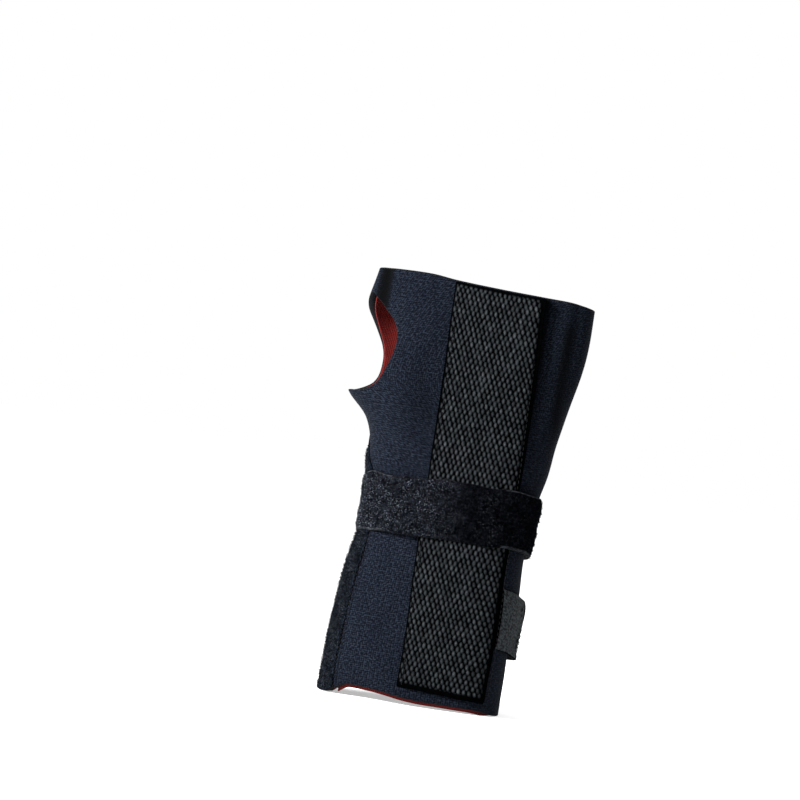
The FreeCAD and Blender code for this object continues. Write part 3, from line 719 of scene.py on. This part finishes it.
def make_back():
    under = -NEOPRENE - LAYER_GAP
    layers = [
        ("back_panel", "neoprene", "", -NEOPRENE, 0.0, 1.6, M_JERSEY, 0.45, M_FOAM),
        ("back_lining", "lining", "_lining", under - LINING, under, 1.8, M_LINING, 0.25, None),
        ("back_pile", "loop_pile", "_pile", LAYER_GAP, LAYER_GAP + PILE, 1.0, M_PILE, 0.3, None),
    ]
    for name, slot, ending, low, high, spacing, material, bulge, rim in layers:
        a, h, uv, faces = panel_grid(177, 122, spacing, lambda z: BACK_EDGE_ANGLE, lambda z: seam(z) - 0.4,
                                     lambda x, angles: curve(BOTTOM_EDGE, x) + 0.45)
        level = sunk(a) - drawn_in(a, h)
        fuzz = 0.0
        if slot == "loop_pile":
            fuzz = 0.14 * waves(*uv.T, 2.6, 11, 20) + 0.10 * waves(*uv.T, 6.0, 12)
        outer, inner = surface(h, a, level + high + fuzz), surface(h, a, level + low)
        piece = slab(name, faces, outer, inner, uv, material, bulge=bulge, rim_material=rim)
        finish_piece(piece, slot, ["radial_strip" + ending, "dorsal" + (ending or "_panel")], *ACROSS_BACK)


make_back()


# ---- yarn: loops of pile, and stitches ----

def tubes(name, centres, side, up, girth, uvs, material):
    """Closed tubes along lines of centres. Arrays go by tube and ring; uvs go on by point of the ring."""
    count, rings, sides = uvs.shape[:3]
    turn = 2 * math.pi * np.arange(sides) / sides
    points = np.zeros((count, rings, sides, 3))
    for k in range(sides):
        points[:, :, k] = centres + (side * math.cos(turn[k]) + up * math.sin(turn[k])) * girth[..., None]
    index = np.arange(count * rings * sides).reshape(count, rings, sides)
    around = np.roll(index, -1, axis=2)
    quads = np.stack([index[:, :-1], around[:, :-1], around[:, 1:], index[:, 1:]], axis=-1).reshape(-1, 4)
    caps = index[:, 0, ::-1].tolist() + index[:, -1].tolist()
    return add_object(name, points.reshape(-1, 3), quads.tolist() + caps, uvs.reshape(-1, 2), material)


def loop_field(name, z, angle, base, uv, seed, height, spread, thickness, loop_lightness_and_painted_light):
    """Small arched loops of yarn standing on the pile: each rises, leans over and comes down again."""
    draw = np.random.default_rng(seed)
    count, rings, sides = len(z), 5, 3
    foot = surface(z, angle, base)
    up = surface(z, angle, base + 1.0) - foot
    along = np.tile(np.array([0.0, 0.0, 1.0]), (count, 1))
    side = np.cross(up, along)
    heading = draw.uniform(0, 2 * math.pi, count)
    lean = np.cos(heading)[:, None] * along + np.sin(heading)[:, None] * side
    across = np.cross(up, lean)
    tall = draw.uniform(*height, count) * np.where(draw.random(count) < 0.08, 1.5, 1.0)
    wide = draw.uniform(0.5, 1.4, count) * spread
    slant = draw.uniform(-0.5, 0.9, count)
    thick = thickness * draw.uniform(0.7, 1.3, count)
    centres = np.zeros((count, rings, 3))
    for k, t in enumerate(np.linspace(0, 1, rings)):
        rise = math.sin(math.pi * min(t * 1.12, 1.0)) * 0.95 - 0.12
        bow = math.sin(2 * math.pi * t) * 0.25
        drift = (t - 0.3) * wide + slant * rise * 0.5
        centres[:, k] = (foot + up * (rise * tall)[:, None] + lean * drift[:, None]
                         + across * (bow * wide)[:, None])
    uvs = uv[:, None, None] + np.linspace(0, 1.5, rings)[:, None, None] * np.array([0.3, 1.0])
    uvs = np.repeat(uvs, sides, axis=2)
    girth = np.repeat(thick[:, None], rings, axis=1)
    loops = tubes(name, centres, across[:, None], up[:, None], girth, uvs, M_LOOPS)
    tone = draw.uniform(0, 1, count)**2.4 * (0.65 + 0.35 * waves(uv[:, 0], uv[:, 1], 7.0, seed)) * loop_lightness_and_painted_light
    point_values(loops, "tone", np.repeat(tone, rings * sides))
    return loops


def pile_loops(name, z, angle, along, shown, seed, height, thickness, loop_lightness_and_painted_light):
    """Loops on the back panel's pile, where they are shown and stand well above its arched forearm edge."""
    shown = shown & (z > curve(BOTTOM_EDGE, outline(z, angle)[0]) + 1.3)
    z, angle = z[shown], angle[shown]
    base = sunk(angle) - drawn_in(angle, z) + PILE
    uv = np.stack([along[shown], z], axis=1)
    loops = loop_field(name, z, angle, base, uv, seed, height, 0.6, thickness, loop_lightness_and_painted_light)
    finish_piece(loops, "loop_pile", [], *ACROSS_BACK)


def back_loops():
    draw = np.random.default_rng(21)
    count = 6200
    z = draw.uniform(0.8, 174.5, count)
    share = draw.uniform(0, 1, count)
    stations = np.linspace(0, 1, 60)
    fine, run = even_angles(z, BACK_EDGE_ANGLE + 1.0, seam(z) - 1.0, len(stations))
    angle = np.array([np.interp(place, stations, row) for place, row in zip(share, fine)])
    shown = (angle > free_edge(z) - 360 - 3) | (angle < -5)
    pile_loops("back_pile_loops", z, angle, share * run[:, -1], shown, 22, (0.35, 0.85), 0.075, 0.5)

    count = 5600
    z = draw.uniform(0.8, 110.0, count)
    angle = seam(z) - 1.0 - np.abs(draw.normal(0, 9.0, count))
    pile_loops("seam_side_loops", z, angle, angle * 0.6, True, 23, (0.4, 1.25), 0.06, 0.3)


back_loops()


def stitched(name, lines, length, thickness, gap, seed):
    """One object with a row of stitches along each line: short raised capsules with their ends in the fabric.

    A line is its heights, its angles and its distances outside the surface.
    """
    rings, sides = 5, 6
    share = np.linspace(0, 1, rings)
    centres, sideways, upright, places = [], [], [], []
    for k, (z, angle, offset) in enumerate(lines):
        points = surface(z, angle, offset)
        normals = surface(z, angle, np.asarray(offset) + 1.0) - points
        run = np.concatenate([[0], np.cumsum(np.linalg.norm(np.diff(points, axis=0), axis=1))])
        start = np.arange(gap, run[-1] - length, length + gap)
        start = start + np.random.default_rng(seed + k).uniform(-0.1, 0.1, len(start))
        at = start[:, None] + length * share
        line = np.stack([np.interp(at, run, column) for column in points.T], axis=-1)
        up = np.stack([np.interp(at, run, column) for column in normals.T], axis=-1)
        up /= np.linalg.norm(up, axis=-1)[..., None]
        heading = line[:, -1:] - line[:, :1]
        heading /= np.linalg.norm(heading, axis=-1)[..., None]
        arch = np.sin(np.pi * share) * thickness * 0.9 - thickness * 0.45
        centres.append(line + up * arch[:, None])
        sideways.append(np.cross(up, heading))
        upright.append(up)
        places.append(at)
    centres, sideways, upright, at = (np.concatenate(each) for each in (centres, sideways, upright, places))
    girth = np.broadcast_to(thickness / 2 * np.array([0.45, 0.95, 1.0, 0.95, 0.45]), at.shape)
    uvs = np.stack(np.broadcast_arrays(0.15 * np.arange(sides), at[..., None]), axis=-1)
    return tubes(name, centres, sideways, upright, girth, uvs, M_THREAD)


def make_seam():
    z = np.linspace(1.5, 119.0, 240)
    rows = []
    for shift, lift in ((0.1, 0.30), (1.5, 0.02)):
        angle = seam(z) + shift
        rows.append((z, angle, palm_relief(angle, z) + lift))
    thread = stitched("seam_thread", rows, length=1.35, thickness=0.42, gap=0.75, seed=41)
    finish_piece(thread, "thread", ["seam_stitching"], *ON_PALM)


make_seam()


# ---- the palmar pocket: 38 mm basket-weave webbing ----

BEAD_ACROSS, BEAD_ALONG = 2.05, 2.13
ROW_SLOPE, COLUMN_LEAN = 0.122, 0.068
BEAD_HALF_WIDTH, BEAD_HALF_LENGTH = 0.39, 0.66   # of a float, in parts of its spacing
FLOAT_RISE = 0.95


def beads(x, z):
    """Relief of the basket weave, 0 to 1: oval floats that interlock, in rows half a float out of step."""
    odds = np.random.default_rng(51).uniform(-1, 1, (64, 128, 5))
    v = (z + ROW_SLOPE * x) / BEAD_ALONG
    height = np.zeros_like(v)
    for step in (-1, 0, 1):
        row = np.floor(v) + step
        u = (x - COLUMN_LEAN * z) / BEAD_ACROSS + 0.5 * np.mod(row, 2) + 100
        column = np.floor(u)
        odd = odds[column.astype(int) % 64, row.astype(int) % 128]
        cx, cz = u - column - 0.5 + odd[..., 0] * 0.06, v - row - 0.5 + odd[..., 1] * 0.06
        cx = cx + cz * (0.07 + 0.10 * odd[..., 4])
        size = 1.0 + odd[..., 2] * 0.09
        r = np.sqrt((cx / (BEAD_HALF_WIDTH * size))**2 + (cz / (BEAD_HALF_LENGTH * size))**2)
        top = np.sqrt(np.clip(1 - np.minimum(r, 1)**2.2, 0, 1)) * (0.88 + 0.12 * odd[..., 3])
        height = np.maximum(height, top)
    return height


def palm_angle(z, x):
    """Angles of many points over the pocket, found between those of a coarse table."""
    heights, lines = np.linspace(0, 180, 46), np.linspace(KEEL_X - 21.5, KEEL_X + 21.5, 60)
    table = np.stack([angle_at_x(heights, line) for line in lines], axis=1)
    zi = np.clip(z / 180 * 45, 0, 44.999)
    xi = np.clip((x - lines[0]) / (lines[-1] - lines[0]) * 59, 0, 58.999)
    z0, x0 = zi.astype(int), xi.astype(int)
    fz, fx = zi - z0, xi - x0
    return (table[z0, x0] * (1 - fz) * (1 - fx) + table[z0 + 1, x0] * fz * (1 - fx)
            + table[z0, x0 + 1] * (1 - fz) * fx + table[z0 + 1, x0 + 1] * fz * fx)


def make_pocket():
    columns, rows = int(2 * POCKET_HALF_WIDTH / 0.31), int((POCKET_Z[1] - POCKET_Z[0]) / 0.43)
    s = np.linspace(-1, 1, columns)
    share = np.linspace(0, 1, rows)
    x_line = KEEL_X + s * POCKET_HALF_WIDTH
    top = curve(TOP_EDGE, x_line) - 0.4
    low = POCKET_LOW_EDGE[0] + (POCKET_LOW_EDGE[1] - POCKET_LOW_EDGE[0]) * (s + 1) / 2
    z = low + (top - low) * share[:, None]
    side_wander = 0.25 * waves(np.zeros(rows), share * 171, 40, 61)[:, None]
    narrow = 1 - 0.03 * ease(share, 0.86, 1.0) - 0.11 * (1 - ease(share, 0.05, 0.7))
    right = np.where(s > 0, 1.0, 0.0)
    x = KEEL_X + s * POCKET_HALF_WIDTH * (1 - right * (1 - narrow[:, None])) + side_wander
    angle = palm_angle(z, x)
    from_side = POCKET_HALF_WIDTH * (1 - np.abs(s))[None, :] * np.ones_like(z)
    from_end = np.minimum(z - low, top - z)
    body = 1.5 + 0.75 * ease(from_side, 0.0, 6.0)
    lifted = 2.4 * ease(share, 0.72, 1.0)[:, None] * ease(s, 0.35, 1.0)[None, :]
    swell = 0.18 * waves(x, z, 30, 62)
    # selvedge and end_fade flatten the floats at the edges, widest on the little finger side, and at the ends;
    # through the float height these strips get painted shadow
    selvedge = ease(from_side, 0.05 + 0.9 * right, 0.7 + 2.2 * right)
    end_fade = ease(z - low, 1.2, 2.6) * ease(top - z, 0.3, 1.4)
    float_height = beads(x, z) * selvedge * end_fade
    height = body + lifted + swell + FLOAT_RISE * float_height - 0.5 * ease(-from_end, -1.2, 0.0)
    base = LAYER_GAP + palm_relief(angle, z) * 0.8
    outer, inner, uv = surface(z, angle, base + height), surface(z, angle, base), np.stack([x, z], axis=-1)
    webbing = slab("pocket_webbing", grid_faces(rows, columns), outer, inner, uv, M_WEBBING, bulge=0.25,
                   steps=3, rim_material=M_WEBBING_EDGE)
    # the float height also sets the webbing's painted shade
    point_values(webbing, "float", float_height.ravel())
    finish_piece(webbing, "webbing", ["palmar_pocket"], *ON_PALM)

    rows_of_thread = []
    line_z = np.linspace(8, 173, 160)
    for side in (-1, 1):
        a = angle_at_x(line_z, KEEL_X + side * (POCKET_HALF_WIDTH - 1.7))
        rows_of_thread.append((line_z, a, 2.45 + palm_relief(a, line_z) * 0.8))
    thread = stitched("pocket_thread", rows_of_thread, length=1.7, thickness=0.4, gap=0.65, seed=63)
    finish_piece(thread, "thread", ["pocket_stitching"], *ON_PALM)


make_pocket()


# ---- tapes: the wrist strap and the closing tabs ----

MM_PER_DEGREE = 0.62           # along a tape, about


def tape_grid(line, width, start, end, spacing):
    """Angles, heights, and distances along and across a tape that goes round the sleeve."""
    middle = float(curve(line, (start + end) / 2))
    angles, run = even_angles(np.array([middle]), start, end, int((end - start) * MM_PER_DEGREE / spacing))
    columns, rows = angles.shape[1], int(width / spacing) + 1
    across = np.linspace(-width / 2, width / 2, rows)
    angle = np.broadcast_to(angles, (rows, columns))
    z = curve(line, angles[0])[None, :] + across[:, None]
    along = np.broadcast_to(run, (rows, columns))
    return angle, z, along, np.broadcast_to(across[:, None], (rows, columns))


def declare_tape(width):
    """Declares nothing: it only scales the width to metres."""
    width = width * MM


def make_strap_piece(name, start, end, bodies, ends, nodes, seed, seat=0.0):
    """A length of the strap; seat is how much further down its inner face goes where it is sewn on."""
    angle, z, along, across = tape_grid(STRAP_LINE, STRAP_WIDTH, start, end, 0.5)
    along = along + start * MM_PER_DEGREE
    from_edge = STRAP_WIDTH / 2 - np.abs(across)
    crown = 1 - (np.abs(across) / (STRAP_WIDTH / 2))**4
    fuzz = ease(from_edge, 0.7, 2.0) * (
        0.30 * waves(along, across, 3.2, 71, 24) + 0.28 * waves(along, across, 8.5, 72)
        + 0.20 * waves(along, across, 1.7, 73, 24))
    ripple = 0.45 * waves(along, across * 0.3, 21, 74) + 0.25 * waves(along, across, 11, 75)
    z = z + (0.5 * waves(along, across * 0, 17, 76) * (across > 0)
             + 0.4 * waves(along, across * 0, 15, 77) * (across < 0))
    level = strap_level(angle) + np.maximum(ripple, -0.15) - drawn_in(angle, curve(STRAP_LINE, angle))
    top = level + STRAP_THICKNESS * (0.62 + 0.55 * crown) + fuzz
    outer, inner = surface(z, angle, top), surface(z, angle, level - seat)
    rows, columns = angle.shape
    faces = grid_faces(rows, columns)
    uv = np.stack([along, across], axis=-1)
    piece = slab(name, faces, outer, inner, uv, M_STRAP, bulge=0.2, steps=3, rim_material=M_SELVEDGE_SIDE)
    # painted light: the light selvedge twill shows only where light catches the strap's edges, on the thumb side
    # and from -62 degrees on; between them the edge keeps the dark pile
    painted_lit_selvedge = ((from_edge < SELVEDGE_WIDTH) & ((angle < -150) | (angle > -62))).ravel()
    index = np.zeros(len(piece.data.polygons), np.int32)
    piece.data.polygons.foreach_get("material_index", index)
    piece.data.materials.append(M_SELVEDGE)
    index[:len(faces)] = [2 * int(painted_lit_selvedge[face[0]]) for face in faces]
    piece.data.polygons.foreach_set("material_index", index)
    # painted shade on the strap: none on the thumb side, most over the middle of the palm, a little less from the
    # little finger side on
    point_values(piece, "painted_strap_shade", (0.85 * ease(angle, -112, -88) - 0.3 * ease(angle, -42, -22)).ravel())
    finish_piece(piece, "strap", nodes, bodies, ends)
    declare_tape(STRAP_WIDTH)

    draw = np.random.default_rng(seed)
    count = int((end - start) * MM_PER_DEGREE * STRAP_WIDTH * STRAP_LOOPS_PER_MM2)
    row = np.clip((draw.uniform(0.03, 0.97, count) * rows).astype(int), 0, rows - 1)
    column = draw.integers(0, columns, count)
    z, angle = z[row, column] + draw.uniform(-0.3, 0.3, count), angle[row, column]
    # painted light: the strap's loops are lighter on the thumb-side part that the light falls on, and in a spot
    # near -73 degrees
    loop_lightness_and_painted_light = (0.12 + 0.88 * ease(angle, -235, -190) * (1 - ease(angle, -128, -96))
              + 0.28 * np.exp(-((angle + 73) / 7)**2))
    loops = loop_field(name + "_loops", z, angle, top[row, column] - 0.1, uv[row, column], seed + 1,
                       (0.2, 0.62), 0.42, 0.09, loop_lightness_and_painted_light)
    finish_piece(loops, "strap", [], bodies, ends)


def around(line, angle, before, after, level):
    """Two points (x, y) in mm, a little before and after an angle, between which a tape bends."""
    z = float(curve(line, angle))
    return [surface(z, angle + shift, level(angle + shift))[:2].tolist() for shift in (before, after)]


def make_strap():
    tail, tip = STRAP_JOINT - CUT_BEFORE_JOINT, STRAP_TIP - CUT_BEFORE_JOINT
    make_strap_piece("strap_main", STRAP_ANCHOR, tail, *ACROSS_FLAP, ["strap_palmar", "strap_ulnar"], 81,
                     seat=0.8)
    make_strap_piece("strap_tail_cover", tail, tip, ("ulnar_flap", "strap_tail"),
                     around(STRAP_LINE, STRAP_JOINT, -5.0, 7.0, strap_level), ["strap_tail"], 83)
    make_strap_piece("strap_tip_cover", tip, STRAP_END, ("strap_tail", "strap_tip"),
                     around(STRAP_LINE, STRAP_TIP, -4.0, 8.0, strap_level), ["strap_tip"], 85)


make_strap()


def tab_puff(name, angle, across):
    """How far the forearm tab stands off the sleeve's side, in mm, most along its upper edge."""
    return 1.9 * np.exp(-((angle + 2.0 - 0.3 * across) / 15)**2) if name.startswith("proximal_tab") else 0.0


def make_tab(name, line, edge, start, joint, end, bodies, nodes, seed):
    """A closing tab in two lengths: its sewn base on the flap, and the end that peels."""

    def level(a):
        return tab_level(a, edge)

    cut = joint - CUT_BEFORE_JOINT
    sewn_on = ACROSS_FLAP if start < 0 else (("ulnar_flap",), None)
    parts = [(name + "_sewn", start, cut, nodes[:1], *sewn_on),
             (name + "_free", cut, end, nodes[1:], bodies, around(line, joint, -5.0, 7.0, level))]
    for part, first, last, replaced, on, ends in parts:
        angle, z, along, across = tape_grid(line, TAB_WIDTH, first, last, 0.6)
        crown = 1 - 0.5 * (np.abs(across) / (TAB_WIDTH / 2))**8
        rib = 0.05 * np.sin(across * 2 * math.pi / 1.15)
        lift = 0.25 * waves(along + first, across, 20, seed)
        low_edge = 0.9 * ease(-across, 9.0, 12.5) * ease(angle, start + 2, start + 14)
        sewn_end = -0.3 * ease(-along, -2.0, 0.0) if part.endswith("_sewn") else 0.0
        base = level(angle) + np.maximum(lift, -0.1) + low_edge + tab_puff(name, angle, across)
        outer = surface(z, angle, base + TAB_THICKNESS * crown + rib + sewn_end)
        inner = surface(z, angle, base)
        faces = grid_faces(*angle.shape)
        uv = np.stack([along + first, across], axis=-1)
        piece = slab(part, faces, outer, inner, uv, M_TAB, bulge=0.25, rim_material=M_TAB_EDGE)
        finish_piece(piece, "tab", replaced, on, ends)
        declare_tape(TAB_WIDTH)


def box_stitch(name, line, width, first, last, level, seed, replaces, bodies, ends=None):
    """A box of stitches with a cross in it, between two angles of a tape."""
    half = width / 2 - 3.0
    side, ones = np.linspace(first, last, 40), np.ones(30)
    runs = [(side, np.full(40, -half)), (side, np.full(40, half)), (first * ones, np.linspace(-half, half, 30)),
            (last * ones, np.linspace(-half, half, 30)), (side, np.linspace(half, -half, 40)),
            (side, np.linspace(-half, half, 40))]
    lines = [(curve(line, a) + across, a, level(a) + tab_puff(name, a, across)) for a, across in runs]
    thread = stitched(name, lines, length=1.9, thickness=0.38, gap=0.7, seed=seed)
    finish_piece(thread, "thread", replaces, bodies, ends)


def make_tabs():
    hand_line = [(0, HAND_TAB_Z), (120, HAND_TAB_Z)]
    start = float(angle_at_x(np.array([41.0]), 31.6)[0]) - 360
    make_tab("proximal_tab", TAB_LINE, FREE_EDGE_ANGLES[0], start, 3.0, 78.0, ("ulnar_flap", "proximal_tab"),
             ["proximal_tab_base", "proximal_tab_end"], 91)
    make_tab("distal_tab", hand_line, FREE_EDGE_ANGLES[1], 30.0, 60.0, 110.0, ("ulnar_flap", "distal_tab"),
             ["distal_tab_base", "distal_tab_end"], 92)
    box_stitch("distal_tab_thread", hand_line, TAB_WIDTH, 33.0, 51.0,
               lambda a: tab_level(a, FREE_EDGE_ANGLES[1]) + TAB_THICKNESS + 0.1, 93, ["distal_tab_stitch"],
               ("ulnar_flap",))
    box_stitch("proximal_tab_thread", TAB_LINE, TAB_WIDTH, -16.0, -5.0,
               lambda a: tab_level(a, FREE_EDGE_ANGLES[0]) + TAB_THICKNESS + 0.1, 94, ["proximal_tab_stitch"],
               *ACROSS_FLAP)
    box_stitch("strap_thread", STRAP_LINE, STRAP_WIDTH, -207.0, -182.0,
               lambda a: strap_level(a) - drawn_in(a, curve(STRAP_LINE, a)) + STRAP_THICKNESS + 0.25, 95,
               ["strap_box_stitch"], *ON_PALM)


make_tabs()

# ---- the frame's own parts that stay ----

KEPT = [
    (M_STAY, ["palmar_stay"]),
    (M_VINYL, ["stay_tip_lower", "stay_tip_upper"]),
    (M_BONE, ["dorsal_stay_radial", "dorsal_stay_ulnar"]),
    (M_HOOK, ["strap_hook", "proximal_tab_hook", "distal_tab_hook"]),
]
for material, nodes in KEPT:
    for node in nodes:
        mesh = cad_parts[node].data
        mesh.materials.clear()
        mesh.materials.append(material)


# ---- floor and light ----

def make_stage():
    mesh = bpy.data.meshes.new("floor")
    half = 6.0
    corners = [(-half, -half, 0), (half, -half, 0), (half, half, 0), (-half, half, 0)]
    mesh.from_pydata(corners, [], [[0, 1, 2, 3]])
    floor = bpy.data.objects.new("floor", mesh)
    bpy.context.scene.collection.objects.link(floor)
    white = bpy.data.materials.new("floor_white")
    white.use_nodes = True
    shader = white.node_tree.nodes["Principled BSDF"]
    shader.inputs["Base Color"].default_value = (0.6, 0.6, 0.6, 1)
    shader.inputs["Roughness"].default_value = 0.9
    shader.inputs["Emission Color"].default_value = (1, 1, 1, 1)
    shader.inputs["Emission Strength"].default_value = 0.45
    mesh.materials.append(white)

    world = bpy.data.worlds.new("studio")
    bpy.context.scene.world = world
    world.use_nodes = True
    background = world.node_tree.nodes["Background"]
    background.inputs["Color"].default_value = (1, 1, 1, 1)
    background.inputs["Strength"].default_value = 1.0


def make_light(name, place, target, size, power):
    data = bpy.data.lights.new(name, "AREA")
    data.shape = "DISK"
    data.size = size
    data.energy = power
    light = bpy.data.objects.new(name, data)
    light.location = place
    light.rotation_euler = (Vector(target) - Vector(place)).to_track_quat("-Z", "Y").to_euler()
    bpy.context.scene.collection.objects.link(light)


make_stage()
make_light("key", (-1.05, -0.80, 0.62), (0, 0, 0.1), 0.40, 130)
make_light("rim", (0.5, 0.9, 0.8), (0, 0, 0.1), 0.6, 4)
bpy.context.scene.view_settings.view_transform = "Standard"
bpy.context.scene.view_settings.look = "None"
